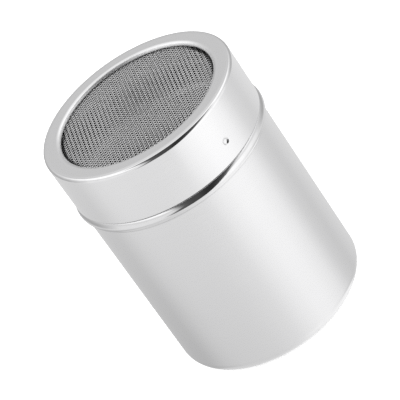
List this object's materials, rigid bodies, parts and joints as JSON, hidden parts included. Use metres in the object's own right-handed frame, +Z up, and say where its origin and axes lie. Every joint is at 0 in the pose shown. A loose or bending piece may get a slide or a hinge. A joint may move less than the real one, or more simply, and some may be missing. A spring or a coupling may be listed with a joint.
{
  "type": "spice shaker",
  "caption": "Round stainless steel shaker for spice or powder: a drawn can with a rolled bead, and a twist-on lid that holds a fine mesh screen over a wide pour opening.",
  "frame": {"origin": "centre of the can's base, on the surface that the shaker stands on", "axes": "+Z up along the can's axis, -Y towards the front, +X to the right seen from the front"},
  "size_m": [0.0712, 0.0712, 0.0929],
  "materials": {
    "can_steel": "satin-bright polished stainless sheet",
    "lid_steel": "bright polished stainless sheet",
    "screen_wire": "fine woven stainless wire",
    "ring_steel": "plain rolled stainless sheet"
  },
  "bodies": {
    "can": {"can_body": "can_steel"},
    "screen": {"mesh_screen": "screen_wire", "screen_ring": "ring_steel"},
    "lid": {"lid_cap": "lid_steel"}
  },
  "joints": [
    {"name": "lid_lift", "type": "slide", "parent": "can", "child": "screen", "axis": [0, 0, 1], "range_m": [0, 0.0201]},
    {"name": "lid_twist", "type": "hinge", "parent": "screen", "child": "lid", "pos_m": [0, 0, 0.0737], "axis": [0, 0, 1], "range_deg": [0, 300]}
  ],
  "couplings": [
    {"joint": "lid_lift", "follows": "lid_twist", "m_per_rad": 0.0038197}
  ]
}
